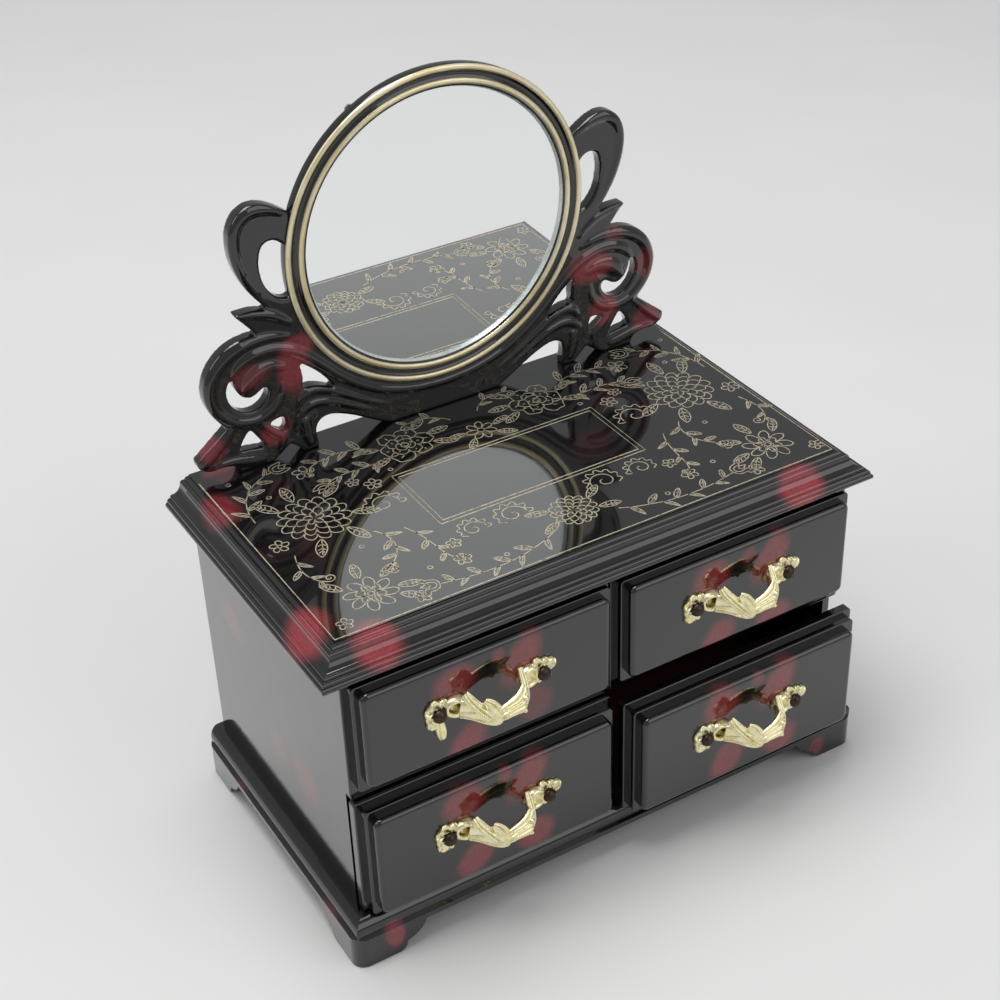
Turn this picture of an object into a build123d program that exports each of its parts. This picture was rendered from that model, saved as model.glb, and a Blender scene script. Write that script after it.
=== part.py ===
from build123d import *
import math
import os

os.makedirs("parts", exist_ok=True)

# A vanity box: a moulded case with four drawers on a bracket-footed base, and a round mirror
# in a pierced scroll stand on its lid. Millimetres, +X to the right, +Y to the back, +Z up.
# While the pieces are made, Y is measured from the middle of the lid; WORLD, at the end, moves
# the whole so that the box round it is centred in Y. Z = 0 is the surface the feet stand on.

# ---------------------------------------------------------------- driving dimensions
# case
CASE_W = 213.0              # over the two side panels
CASE_D = 117.0              # front edge of the side panels to their back edge
CASE_FRONT = -56.0          # Y of the front edges of the side panels
PANEL_T = 3.0               # side panels, divider walls and top board
BACK_T = 2.5                # back panel
SHELF_T = 5.0               # shelf between the two rows of drawers
DADO = 1.0                  # how far shelf and back panel reach into the side panels
SEAT_GAP = 0.1              # clearance of a board in its groove

# base
BASE_SIDE, BASE_REACH, BASE_REAR = 7.5, 12.5, 1.0   # past the case's sides, front and back
BASE_H = 20.0               # feet to deck
DECK_T = 3.0
SKIRT_H = 13.2              # feet to the arris at the top of the skirt
SKIRT_T = 3.5
ARRIS = 1.3                 # width and half the height of the step above the skirt
OVOLO_R = 4.6               # quarter round above that step
BASE_CORNER_R = 5.0
FOOT_L = 17.0               # length of a bracket foot along the floor
FOOT_LOBE = (3.5, 4.0)      # small lobe of the bracket: length, height
BRACKET_L = 12.0            # foot end to where the bracket meets the arch
ARCH_H = 11.0               # floor to the underside of the skirt between the feet

# drawers
ROW_H = (51.3, 46.3)        # clear height of the lower and of the upper row
FRONT_OVER = 0.15           # drawer fronts past the case's sides
FRONT_GAP = 0.25            # front to case when the drawer is shut
MID_GAP = 0.5               # between a left and a right front
SEAM_RISE, SEAM_GAP = 0.6, 0.6  # between the rows: middle over the shelf's underside, width
FRONT_CLEAR = 0.4           # fronts to the deck below them and to the lid above them
LAYER_T = (3.6, 3.9, 3.8)   # a front's three layers: flange, step and field
LAYER_SIDE = (0.0, 1.95, 4.0)   # insets of the three from the flange's sides
LAYER_TOP = ((0.0, 2.1, 4.7), (0.0, 1.9, 3.7))      # from its top, lower and upper row
LAYER_LOW = ((0.0, 0.5, 1.8), (0.0, 5.7, 8.3))      # from its bottom, lower and upper row
LAYER_R = (1.5, 1.5, 3.0)   # corner radii
LAYER_EDGE = (0.5, 0.4, 1.9)    # rounded front edges
TRAY_WALL = 1.8
TRAY_GAP = 0.4              # tray to the walls beside it
TRAY_FLOAT = 0.3            # tray to the board below it
TRAY_H = 38.0
TRAY_REAR = 6.8             # shut tray to the back panel
TRAY_R = 3.0
LINER_T = 1.0
LINER_GAP = 0.3
OPEN_BY = {"upper_left": 0.0, "upper_right": 0.0, "lower_left": 2.0, "lower_right": 9.0}

# pulls
PIN_SPAN = 41.4             # between the two pins of a pull
PIN_RISE = (3.2, 2.1)       # pins above the middle of the field, lower and upper row
PULL_SHIFT = -1.3           # middle of the pull from the middle of its front
PIN_R = 1.1
PIN_CLEAR = 0.15
PIN_HEAD_R, PIN_HEAD_H = 2.7, 2.1
PIN_TAIL = 0.5              # end of the pin past its nut
BOSS_R, BOSS_H = 2.3, 2.6
NUT_AF, NUT_T = 4.6, 1.6
EYE_X, EYE_Z = 14.4, 0.8    # middle of the eye-shaped loop, from the pull's middle
EYE_A, EYE_B = 3.7, 3.0     # half axes of the loop's middle line
EYE_WIRE = 1.25
EYE_OUT = 2.9               # loop's middle line to the drawer front
# sections of the bar: place along it, middle to the drawer front, rise over the pins,
# half height, half thickness, slope, twist
BAR_RISE = (
    (-11.6, 2.9, 1.0, 1.9, 1.2, 0.9, 0),
    (-7.4, 7.3, 1.2, 3.3, 1.3, 0.9, -14),
    (-1.6, 10.1, -0.9, 4.3, 1.4, 0.4, -20),
    (4.2, 11.0, -2.2, 3.3, 1.4, 0.0, -8),
    (8.4, 10.4, -2.4, 3.1, 1.3, -0.5, 0),
)
BAR_DROP = (
    (11.0, 6.4, -0.9, 2.7, 0.9, -3.0, 0),
    (11.6, 2.9, 0.6, 2.1, 1.0, -1.6, 0),
)
# leaves on the bar: tip and root as (along the bar, to the drawer front, rise), half width
LEAVES = (
    ((-10.6, 4.9, 6.9), (-2.4, 10.8, -1.4), 2.2),
    ((-5.6, 9.4, 4.8), (1.6, 11.6, -1.6), 1.9),
    ((-2.6, 11.2, -6.0), (-5.4, 9.4, -1.0), 1.6),
    ((9.2, 11.6, -0.6), (-1.6, 11.9, -3.6), 1.6),
    ((9.5, 4.8, 6.4), (9.8, 8.8, -1.8), 1.4),
)
LEAF_HALF_T = 1.0
LEAF_TIP = 0.3              # size of a leaf's tip against its widest place
LEAF_WIDEST = 0.4           # place of the widest section, from tip to root
PETAL_OUT = 1.9             # middle of a petal to the drawer front
PETALS = (                  # petals round a pin, on the right end: turn, reach, length, width
    (8, 3.7, 4.4, 3.2),
    (58, 3.8, 4.6, 3.0),
    (106, 3.5, 3.6, 2.6),
    (-42, 3.7, 4.6, 2.8),
    (-92, 4.2, 5.0, 2.6),
)

# lid
LID_SIDE, LID_REACH, LID_REAR = 8.5, 9.2, 4.0   # past the case's sides, front and back
LID_H = 11.8
LID_SKIN = 2.4
LID_FLAT_IN = 10.6          # widest edge to the flat top's edge
LID_SEAT = 2.6              # how far the lid's rim rests on the top board
LID_REAR_SEAT = 1.0         # the same at the back
LID_BOSS_R = 4.0
LID_SCREW_R, LID_SCREW_HEAD_R = 1.4, 2.7
LID_SCREW_IN = 13.0         # lid screws from the case's edges

# mirror
RIM_Z = 76.9                # middle of the mirror above the lid, along the stand
RIM_PROUD = 1.6             # front of the rim before the front of the stand
RIM_D = 5.5
RIM_R = 62.3
GOLD_R = (56.1, 61.15)      # middle lines of the two raised rings
GOLD_W = 2.3
GOLD_H = 0.9
GROOVE_H = 1.7              # depth of the channel between the rings
LIP_R = 54.2                # edge of the lip in front of the glass
GLASS_R, GLASS_T = 57.2, 2.0
GLASS_GAP = 0.3
GLASS_SET = 2.5             # front of the rim to the front of the glass
BACKING_T = 1.0
COVER_T = 1.8
COLLAR_T = 2.7
COVER_EDGE = 0.8
COVER_SCREW_N = 3
COVER_SCREW_R, COVER_SCREW_HEAD_R, COVER_SCREW_HEAD_H = 0.9, 1.7, 0.9
COVER_SCREW_L = 3.5

# scroll stand
STAND_IN = 10.0             # lid's back edge to the front of the stand's feet
STAND_LEAN = 1.5            # degrees that the stand leans forward
STAND_T = 5.0
STAND_SCREW_R, STAND_SCREW_HEAD_R, STAND_SCREW_HEAD_H = 1.25, 2.1, 1.5
STAND_SCREW_X = (80.0, 12.0)
STAND_SCREW_L = 7.0         # thread in the stand
BEAD_R = 1.4                # raised beads on the front of the stand

# ---------------------------------------------------------------- worked-out places
DECK_Z = BASE_H
SHELF_Z = DECK_Z + ROW_H[0]
UPPER_Z = SHELF_Z + SHELF_T
TOP_Z = UPPER_Z + ROW_H[1]
LID_Z = TOP_Z + PANEL_T
LID_TOP = LID_Z + LID_H
CASE_BACK = CASE_FRONT + CASE_D
BACK_IN = CASE_BACK - BACK_T
BASE_W = CASE_W + 2 * BASE_SIDE
BASE_FRONT, BASE_BACK = CASE_FRONT - BASE_REACH, CASE_BACK + BASE_REAR
LID_W = CASE_W + 2 * LID_SIDE
LID_FRONT, LID_BACK = CASE_FRONT - LID_REACH, CASE_BACK + LID_REAR
BAY_W = (CASE_W - 3 * PANEL_T) / 2
BAY_X = (PANEL_T + BAY_W) / 2
ROW_Z = (DECK_Z, UPPER_Z)
FRONT_W = (CASE_W + 2 * FRONT_OVER - MID_GAP) / 2
FRONT_X = (FRONT_W + MID_GAP) / 2
FRONT_BACK = CASE_FRONT - FRONT_GAP
FRONT_Z = (
    (DECK_Z + FRONT_CLEAR, SHELF_Z + SEAM_RISE - SEAM_GAP / 2),
    (SHELF_Z + SEAM_RISE + SEAM_GAP / 2, LID_Z - FRONT_CLEAR),
)
FRONT_T = sum(LAYER_T)
TRAY_W = BAY_W - 2 * TRAY_GAP
TRAY_D = BACK_IN - FRONT_BACK - TRAY_REAR
STAND_FRONT = LID_BACK - STAND_IN
STAND_BACK = STAND_FRONT + STAND_T
RIM_FRONT = STAND_FRONT - RIM_PROUD
RIM_CENTRE_Z = LID_TOP + RIM_Z
GLASS_Y = RIM_FRONT + GLASS_SET
SEAT_R = GLASS_R + GLASS_GAP
DRAWERS = {
    "upper_left": (-1, 1),
    "upper_right": (1, 1),
    "lower_left": (-1, 0),
    "lower_right": (1, 0),
}


# ---------------------------------------------------------------- small helpers
def block(x, y, z):
    """A box between pairs of limits."""
    middle = Pos((x[0] + x[1]) / 2, (y[0] + y[1]) / 2, (z[0] + z[1]) / 2)
    return middle * Box(x[1] - x[0], y[1] - y[0], z[1] - z[0])


def rod_y(radius, x, z, y0, y1):
    """A cylinder along Y from y0 to y1."""
    return Pos(x, (y0 + y1) / 2, z) * Rot(X=90) * Cylinder(radius, y1 - y0)


def rod_z(radius, x, y, z0, z1):
    """A cylinder along Z from z0 to z1."""
    return Pos(x, y, (z0 + z1) / 2) * Cylinder(radius, z1 - z0)


def save(name, shape):
    export_step(WORLD * shape, f"parts/{name}.step")


# ---------------------------------------------------------------- base
def base_edge():
    """Half the base's outline, as (inset from the outer face, height) edges up to the deck."""
    inner = ARRIS + OVOLO_R
    return [
        Line((0, 0), (0, SKIRT_H)),
        Line((0, SKIRT_H), (ARRIS, SKIRT_H + ARRIS / 2)),
        Line((ARRIS, SKIRT_H + ARRIS / 2), (ARRIS, BASE_H - OVOLO_R)),
        JernArc((ARRIS, BASE_H - OVOLO_R), (0, 1), OVOLO_R, -90),
        Line((inner, BASE_H), (BASE_W / 2, BASE_H)),
        Line((BASE_W / 2, BASE_H), (BASE_W / 2, 0)),
        Line((BASE_W / 2, 0), (0, 0)),
    ]


def bracket_arch(length):
    """Opening between two bracket feet, in a face `length` long, centred on 0."""
    foot = length / 2 - FOOT_L
    lobe, rise = FOOT_LOBE
    end = foot - BRACKET_L
    edges = []
    for side in (-1, 1):
        a, b, c = (side * foot, 0), (side * (foot - lobe), rise), (side * end, ARCH_H)
        edges.append(RadiusArc(a, b, side * (lobe + rise) / 2))
        edges.append(RadiusArc(b, c, side * (BRACKET_L + ARCH_H) / 2))
    edges.append(Line((-end, ARCH_H), (end, ARCH_H)))
    edges.append(Line((-foot, 0), (foot, 0)))
    return make_face(edges)


def make_base():
    depth = BASE_BACK - BASE_FRONT
    mid_y = (BASE_BACK + BASE_FRONT) / 2
    half = make_face(base_edge())
    left = Plane(origin=(-BASE_W / 2, BASE_BACK, 0), x_dir=(1, 0, 0), z_dir=(0, -1, 0)) * half
    sides = extrude(left, depth)
    sides += mirror(sides, about=Plane.YZ)
    front = Plane(origin=(-BASE_W / 2, BASE_FRONT, 0), x_dir=(0, 1, 0), z_dir=(1, 0, 0)) * half
    front = extrude(front, BASE_W)
    rear = block((-BASE_W / 2, BASE_W / 2), (mid_y, BASE_BACK), (0, BASE_H))
    corners = extrude(Pos(0, mid_y) * RectangleRounded(BASE_W, depth, BASE_CORNER_R), BASE_H)
    body = sides & (front + rear) & corners

    inset = ARRIS + SKIRT_T
    body -= block((SKIRT_T - BASE_W / 2, BASE_W / 2 - SKIRT_T),
                  (BASE_FRONT + SKIRT_T, BASE_BACK - SKIRT_T), (0, SKIRT_H - ARRIS))
    body -= block((inset - BASE_W / 2, BASE_W / 2 - inset),
                  (BASE_FRONT + inset, BASE_BACK - inset), (0, BASE_H - DECK_T))
    across = extrude(Plane(origin=(0, BASE_BACK, 0), x_dir=(1, 0, 0), z_dir=(0, -1, 0))
                     * bracket_arch(BASE_W), depth)
    along = extrude(Plane(origin=(-BASE_W / 2, mid_y, 0), x_dir=(0, 1, 0), z_dir=(1, 0, 0))
                    * bracket_arch(depth), BASE_W)
    return body - across - along


# ---------------------------------------------------------------- case
def make_side(side):
    """A side panel, with grooves for the shelf and the back panel."""
    outer = side * CASE_W / 2
    inner = side * (CASE_W / 2 - PANEL_T)
    groove = inner + side * DADO
    body = block(sorted((outer, inner)), (CASE_FRONT, CASE_BACK), (DECK_Z, TOP_Z))
    body -= block(sorted((inner, groove)), (CASE_FRONT, CASE_BACK),
                  (SHELF_Z - SEAT_GAP, UPPER_Z + SEAT_GAP))
    body -= block(sorted((inner, groove)), (BACK_IN - SEAT_GAP, CASE_BACK), (DECK_Z, TOP_Z))
    return body


def make_back_panel():
    reach = CASE_W / 2 - PANEL_T + DADO - SEAT_GAP
    return block((-reach, reach), (BACK_IN, CASE_BACK), (DECK_Z, TOP_Z))


def make_shelf():
    reach = CASE_W / 2 - PANEL_T + DADO - SEAT_GAP
    return block((-reach, reach), (CASE_FRONT, BACK_IN), (SHELF_Z, UPPER_Z))


def make_divider(row):
    z = ROW_Z[row]
    return block((-PANEL_T / 2, PANEL_T / 2), (CASE_FRONT, BACK_IN), (z, z + ROW_H[row]))


def lid_screw_places():
    x = CASE_W / 2 - LID_SCREW_IN
    y = (CASE_FRONT + LID_SCREW_IN, CASE_BACK - LID_SCREW_IN)
    return [(side * x, v) for side in (-1, 1) for v in y]


def lid_screw(x, y, gap=0.0):
    """A countersunk screw up through the top board, or with a gap the hole for it."""
    cone = LID_SCREW_HEAD_R - LID_SCREW_R
    head = Pos(x, y, LID_Z - PANEL_T + cone / 2) * Cone(
        LID_SCREW_HEAD_R + gap, LID_SCREW_R + gap, cone)
    return head + rod_z(LID_SCREW_R + gap, x, y, LID_Z - PANEL_T, LID_TOP - 2 * LID_SKIN + gap)


def make_top_board():
    body = block((-CASE_W / 2, CASE_W / 2), (CASE_FRONT, CASE_BACK), (TOP_Z, LID_Z))
    for x, y in lid_screw_places():
        body -= lid_screw(x, y, SEAT_GAP)
    return body


# ---------------------------------------------------------------- lid
def lid_edge():
    """Outline of the lid's moulding: (inset from the widest edge, drop from the flat top)."""
    flat, drop = LID_FLAT_IN, LID_H
    return [
        Line((flat + 1, 0), (flat, 0)),
        Line((flat, 0), (flat, -0.5)),
        ThreePointArc((flat, -0.5), (flat - 1.3, -0.7), (flat - 1.9, -1.5)),
        ThreePointArc((flat - 1.9, -1.5), (flat - 3.2, -1.5), (flat - 3.8, -2.4)),
        ThreePointArc((flat - 3.8, -2.4), (flat - 4.6, -4.7), (flat - 6.9, -6.2)),
        ThreePointArc((flat - 6.9, -6.2), (flat - 8.0, -6.4), (flat - 8.4, -7.4)),
        ThreePointArc((flat - 8.4, -7.4), (flat - 9.4, -7.7), (flat - 9.7, -8.8)),
        ThreePointArc((flat - 9.7, -8.8), (0, -10.4), (0.7, -drop + 0.4)),
        Line((0.7, -drop + 0.4), (1.2, -drop)),
        Line((1.2, -drop), (flat + 1, -drop)),
    ]


def stand_screw_places():
    y = (STAND_FRONT + STAND_BACK) / 2
    return [(side * x, y) for x in STAND_SCREW_X for side in (-1, 1)]


def make_lid():
    depth = LID_BACK - LID_FRONT
    wall = LID_W / 2 - CASE_W / 2 + LID_SEAT
    moulding = lid_edge()
    end = LID_FLAT_IN + 1
    half = make_face(moulding + [Line((end, -LID_H), (end, 0))])
    half += Pos((end + LID_W / 2) / 2, -LID_H / 2) * Rectangle(LID_W / 2 - end, LID_H)
    left = Plane(origin=(-LID_W / 2, LID_BACK, LID_TOP), x_dir=(1, 0, 0), z_dir=(0, -1, 0)) * half
    sides = extrude(left, depth)
    sides += mirror(sides, about=Plane.YZ)
    front = Plane(origin=(-LID_W / 2, LID_FRONT, LID_TOP), x_dir=(0, 1, 0), z_dir=(1, 0, 0)) * half
    front = extrude(front, LID_W)
    rear = block((-LID_W / 2, LID_W / 2), (0, LID_BACK), (LID_Z, LID_TOP))
    body = sides & (front + rear)
    body -= block((wall - LID_W / 2, LID_W / 2 - wall),
                  (CASE_FRONT + LID_SEAT, CASE_BACK - LID_REAR_SEAT),
                  (LID_Z, LID_TOP - LID_SKIN))
    for x, y in lid_screw_places():
        body += rod_z(LID_BOSS_R, x, y, LID_Z, LID_TOP - LID_SKIN)
        body -= lid_screw(x, y, SEAT_GAP)
    for x, y in stand_screw_places():
        body -= rod_z(STAND_SCREW_R + SEAT_GAP, x, y, LID_TOP - LID_SKIN, LID_TOP)
    return body


def make_lid_screws():
    return Compound([lid_screw(x, y) for x, y in lid_screw_places()])


def stand_screw(x, y, gap=0.0):
    """A pan-head screw up through the lid's skin into the stand, or the hole for it."""
    under = LID_TOP - LID_SKIN
    head = rod_z(STAND_SCREW_HEAD_R, x, y, under - STAND_SCREW_HEAD_H, under)
    return head + rod_z(STAND_SCREW_R + gap, x, y, under, LID_TOP + STAND_SCREW_L + gap)


def make_stand_screws():
    return Compound([stand_screw(x, y) for x, y in stand_screw_places()])


# ---------------------------------------------------------------- mirror and scroll stand
# They are made upright and then leaned forward about the back edge of the stand's feet.
def leaned(shape):
    foot = Pos(0, STAND_BACK, LID_TOP)
    return foot * Rot(X=STAND_LEAN) * foot.inverse() * shape


def make_rim():
    """The turned rim: a lip, two raised rings with a channel between them, and a collar."""
    r0, r1 = GOLD_R
    w, y = GOLD_W / 2, RIM_FRONT
    base = y + GOLD_H
    channel = y + GROOVE_H
    mid = (r0 + r1) / 2
    back = y + RIM_D
    collar = SEAT_R + COLLAR_T
    edges = [
        Line((LIP_R, GLASS_Y), (LIP_R, base)),
        Line((LIP_R, base), (r0 - w, base)),
        ThreePointArc((r0 - w, base), (r0, y), (r0 + w, base)),
        ThreePointArc((r0 + w, base), (mid, channel), (r1 - w, base)),
        ThreePointArc((r1 - w, base), (r1, y), (RIM_R, base)),
        Line((RIM_R, base), (RIM_R - 0.4, back)),
        Line((RIM_R - 0.4, back), (collar, back)),
        Line((collar, back), (collar, STAND_BACK)),
        Line((collar, STAND_BACK), (SEAT_R, STAND_BACK)),
        Line((SEAT_R, STAND_BACK), (SEAT_R, GLASS_Y)),
        Line((SEAT_R, GLASS_Y), (LIP_R, GLASS_Y)),
    ]
    ring = revolve(make_face(edges), Axis.Y)
    return Pos(0, 0, RIM_CENTRE_Z) * ring


def outline(edges):
    """A face from edges given as a chain: each a list of points, two for a line, more for a
    smooth curve."""
    wires = [Line(*p) if len(p) == 2 else Spline(*p) for p in edges]
    return make_face(wires)


# The stand's left half, X from the mirror's middle and Z above the lid.
STAND_EDGE_LEFT = [
    # horn, from the rim over the top and down to the leaf
    [(-58.6, 99.0), (-62.8, 102.0), (-67.8, 104.6), (-73.0, 105.4), (-78.0, 103.2),
     (-81.4, 98.2), (-82.5, 91.5), (-81.8, 85.0), (-79.4, 77.6), (-75.4, 70.6), (-69.0, 63.0)],
    # leaf
    [(-69.0, 63.0), (-75.2, 65.0), (-83.3, 64.9)],
    [(-83.3, 64.9), (-79.2, 60.0), (-75.2, 55.0)],
    # volute
    [(-75.2, 55.0), (-81.5, 54.9), (-88.0, 52.8), (-93.3, 48.6), (-96.9, 42.8), (-98.2, 36.6),
     (-97.2, 30.6), (-94.6, 25.4), (-90.6, 20.6)],
    # outer leg
    [(-90.6, 20.6), (-103.8, 9.8)],
    [(-103.8, 9.8), (-103.4, 7.4), (-101.2, 5.2), (-97.4, 4.2)],
    [(-97.4, 4.2), (-90.2, 4.0), (-88.0, 0.0)],
    [(-88.0, 0.0), (-74.0, 0.0)],
    # notch between the outer foot and the inner foot
    [(-74.0, 0.0), (-70.5, 2.2), (-66.4, 5.6)],
    [(-66.4, 5.6), (-63.4, 2.8), (-60.6, 0.0)],
    [(-60.6, 0.0), (-54.6, 0.0)],
    # arch
    [(-54.6, 0.0), (-55.0, 4.0), (-55.2, 8.0), (-53.4, 11.4), (-49.8, 12.4), (-45.0, 11.2),
     (-37.0, 7.2), (-24.0, 0.0)],
    [(-24.0, 0.0), (0.0, 0.0)],
    [(0.0, 0.0), (0.0, 18.0)],
    [(0.0, 18.0), (-42.0, 35.0)],
    [(-42.0, 35.0), (-58.6, 99.0)],
]
STAND_HOLES_LEFT = [
    # horn loop, closed along the rim's collar
    [[(-61.4, 66.2), (-64.7, 67.0), (-67.9, 69.7), (-70.6, 74.4), (-71.6, 80.2), (-71.2, 85.6),
      (-69.4, 89.2), (-66.6, 90.2), (-64.0, 89.2), (-61.8, 87.0)],
     [(-61.8, 87.0), (-60.0, 84.6)],
     [(-60.0, 84.6), (-60.6, 76.7), (-59.7, 68.4)],
     [(-59.7, 68.4), (-61.4, 66.2)]],
    # crescent inside the volute, round the curl's bulb
    [[(-86.6, 40.8), (-88.7, 37.6), (-89.2, 33.6), (-87.7, 29.0), (-84.2, 25.5), (-80.0, 24.3),
      (-76.2, 25.7), (-73.6, 28.8), (-73.2, 31.6), (-74.6, 32.9)],
     [(-74.6, 32.9), (-76.8, 31.6), (-79.6, 30.3), (-82.6, 31.0), (-85.0, 33.8), (-86.2, 37.2),
      (-86.6, 40.8)]],
    # long triangle between the volute, the rim's ribbon and the inner foot
    [[(-60.4, 38.8), (-59.0, 34.0), (-59.4, 27.0)],
     [(-59.4, 27.0), (-56.0, 27.3), (-51.6, 26.0), (-46.4, 23.4)],
     [(-46.4, 23.4), (-50.2, 29.3), (-55.0, 34.4), (-60.4, 38.8)]],
    # triangle over the outer foot
    [[(-81.8, 16.8), (-84.8, 13.4), (-86.8, 9.0)],
     [(-86.8, 9.0), (-81.4, 8.3), (-75.8, 7.2)],
     [(-75.8, 7.2), (-78.6, 11.8), (-81.8, 16.8)]],
    # small triangle beside it
    [[(-75.2, 16.0), (-71.8, 17.6), (-68.2, 18.2)],
     [(-68.2, 18.2), (-67.4, 14.8), (-68.0, 11.4)],
     [(-68.0, 11.4), (-71.8, 13.6), (-75.2, 16.0)]],
]


# Middle lines of its beads, each an arc through three points.
STAND_BEADS_LEFT = [
    [(-74.4, 72.8), (-77.2, 86.0), (-70.4, 99.2)],      # horn
    [(-79.0, 50.4), (-93.2, 37.4), (-87.6, 23.2)],      # volute
    [(-84.0, 19.4), (-90.6, 14.6), (-96.6, 8.8)],       # outer leg
]


def bead(points):
    """A round bar along an arc, half sunk in the stand's front face."""
    path = Plane(origin=(0, STAND_FRONT, LID_TOP), x_dir=(1, 0, 0), z_dir=(0, -1, 0)) \
        * ThreePointArc(*points)
    return sweep(Plane(origin=path @ 0, z_dir=path % 0) * Circle(BEAD_R), path=path)


def make_stand():
    """The pierced plate with its beads, the left half and its mirror image."""
    place = Plane(origin=(0, STAND_BACK, LID_TOP), x_dir=(1, 0, 0), z_dir=(0, -1, 0))
    left = extrude(place * outline(STAND_EDGE_LEFT), STAND_T)
    for hole in STAND_HOLES_LEFT:
        left -= extrude(place * outline(hole), STAND_T)
    for points in STAND_BEADS_LEFT:
        left += bead(points)
    plate = left + mirror(left, about=Plane.YZ)
    return plate - rod_y(SEAT_R + COLLAR_T / 2, 0, RIM_CENTRE_Z, STAND_FRONT, STAND_BACK)


def cover_screw_places():
    """Screws of the back cover, on its flange over the collar."""
    r = SEAT_R + COLLAR_T / 2
    turns = [360 * i / COVER_SCREW_N for i in range(COVER_SCREW_N)]
    return [(r * math.cos(math.radians(a)), RIM_CENTRE_Z + r * math.sin(math.radians(a)))
            for a in turns]


def make_mirror_frame():
    frame = make_stand() + make_rim()
    for x, z in cover_screw_places():
        frame -= rod_y(COVER_SCREW_R + SEAT_GAP, x, z, STAND_BACK - COVER_SCREW_L, STAND_BACK)
    frame = leaned(frame)
    frame -= block((-LID_W / 2, LID_W / 2), (LID_FRONT, LID_BACK), (LID_Z, LID_TOP))
    for x, y in stand_screw_places():
        frame -= rod_z(STAND_SCREW_R + SEAT_GAP, x, y, LID_TOP,
                       LID_TOP + STAND_SCREW_L + SEAT_GAP)
    return frame


def make_glass():
    return leaned(rod_y(GLASS_R, 0, RIM_CENTRE_Z, GLASS_Y, GLASS_Y + GLASS_T))


def make_backing():
    y = GLASS_Y + GLASS_T
    return leaned(rod_y(GLASS_R, 0, RIM_CENTRE_Z, y, y + BACKING_T))


def make_back_cover():
    """A shallow moulded lid: a plug that holds the backing, under a flange on the collar."""
    y = GLASS_Y + GLASS_T + BACKING_T
    rim = SEAT_R + COLLAR_T
    edges = [
        Line((0, STAND_BACK), (0, STAND_BACK + COVER_T)),
        Line((0, STAND_BACK + COVER_T), (rim - COVER_EDGE, STAND_BACK + COVER_T)),
        RadiusArc((rim - COVER_EDGE, STAND_BACK + COVER_T), (rim, STAND_BACK + COVER_T
                                                             - COVER_EDGE), COVER_EDGE),
        Line((rim, STAND_BACK + COVER_T - COVER_EDGE), (rim, STAND_BACK)),
        Line((rim, STAND_BACK), (GLASS_R, STAND_BACK)),
        Line((GLASS_R, STAND_BACK), (GLASS_R, y)),
        Line((GLASS_R, y), (GLASS_R - COVER_T, y)),
        Line((GLASS_R - COVER_T, y), (GLASS_R - COVER_T, STAND_BACK)),
        Line((GLASS_R - COVER_T, STAND_BACK), (0, STAND_BACK)),
    ]
    cover = Pos(0, 0, RIM_CENTRE_Z) * revolve(make_face(edges), Axis.Y)
    for x, z in cover_screw_places():
        cover -= rod_y(COVER_SCREW_R + SEAT_GAP, x, z, STAND_BACK, STAND_BACK + COVER_T)
    return leaned(cover)


def make_cover_screws():
    y = STAND_BACK + COVER_T
    return Compound([
        leaned(rod_y(COVER_SCREW_R, x, z, STAND_BACK - COVER_SCREW_L, y)
               + rod_y(COVER_SCREW_HEAD_R, x, z, y, y + COVER_SCREW_HEAD_H))
        for x, z in cover_screw_places()
    ])


# ---------------------------------------------------------------- drawers
def drawer_place(name):
    """Middle of a drawer in X, and Y of the back of its front, moved out by its opening."""
    side, _ = DRAWERS[name]
    return side * FRONT_X, FRONT_BACK - OPEN_BY[name]


def layer_limits(row, layer):
    low, high = FRONT_Z[row]
    return low + LAYER_LOW[row][layer], high - LAYER_TOP[row][layer]


def pin_height(name):
    """The pull's pins, above the middle of the field."""
    row = DRAWERS[name][1]
    return sum(layer_limits(row, -1)) / 2 + PIN_RISE[row]


def pin_places(name):
    x = drawer_place(name)[0] + PULL_SHIFT
    return [(x + side * PIN_SPAN / 2, pin_height(name)) for side in (-1, 1)]


def front_layer(row, layer):
    """A slab from the back of a drawer front to the face of one of its layers."""
    low, high = layer_limits(row, layer)
    place = Plane(origin=(0, 0, (low + high) / 2), x_dir=(1, 0, 0), z_dir=(0, -1, 0))
    shape = RectangleRounded(FRONT_W - 2 * LAYER_SIDE[layer], high - low, LAYER_R[layer])
    slab = extrude(place * shape, sum(LAYER_T[:layer + 1]))
    return fillet(slab.faces().sort_by(Axis.Y)[0].edges(), LAYER_EDGE[layer])


def make_drawer_front(name):
    x, y = drawer_place(name)
    row = DRAWERS[name][1]
    body = front_layer(row, 0)
    for layer in range(1, len(LAYER_T)):
        body += front_layer(row, layer)
    body = Pos(x, y) * body
    for px, pz in pin_places(name):
        body -= rod_y(PIN_R + PIN_CLEAR, px, pz, y - FRONT_T, y)
    return body


def tray_limits(name):
    """Outer limits of a drawer's tray in X, Y and Z."""
    side, row = DRAWERS[name]
    x = side * BAY_X
    y = FRONT_BACK - OPEN_BY[name]
    z = ROW_Z[row] + TRAY_FLOAT
    return (x - TRAY_W / 2, x + TRAY_W / 2), (y, y + TRAY_D), (z, z + TRAY_H)


def make_tray(name):
    x, y, z = tray_limits(name)
    middle = Pos((x[0] + x[1]) / 2, (y[0] + y[1]) / 2)
    inner = RectangleRounded(TRAY_W - 2 * TRAY_WALL, TRAY_D - 2 * TRAY_WALL, TRAY_R)
    body = block(x, y, z)
    body -= Pos(0, 0, z[0] + TRAY_WALL) * middle * extrude(inner, TRAY_H)
    for px, pz in pin_places(name):
        body -= rod_y(PIN_R + PIN_CLEAR, px, pz, y[0], y[0] + TRAY_WALL)
    return body


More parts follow.
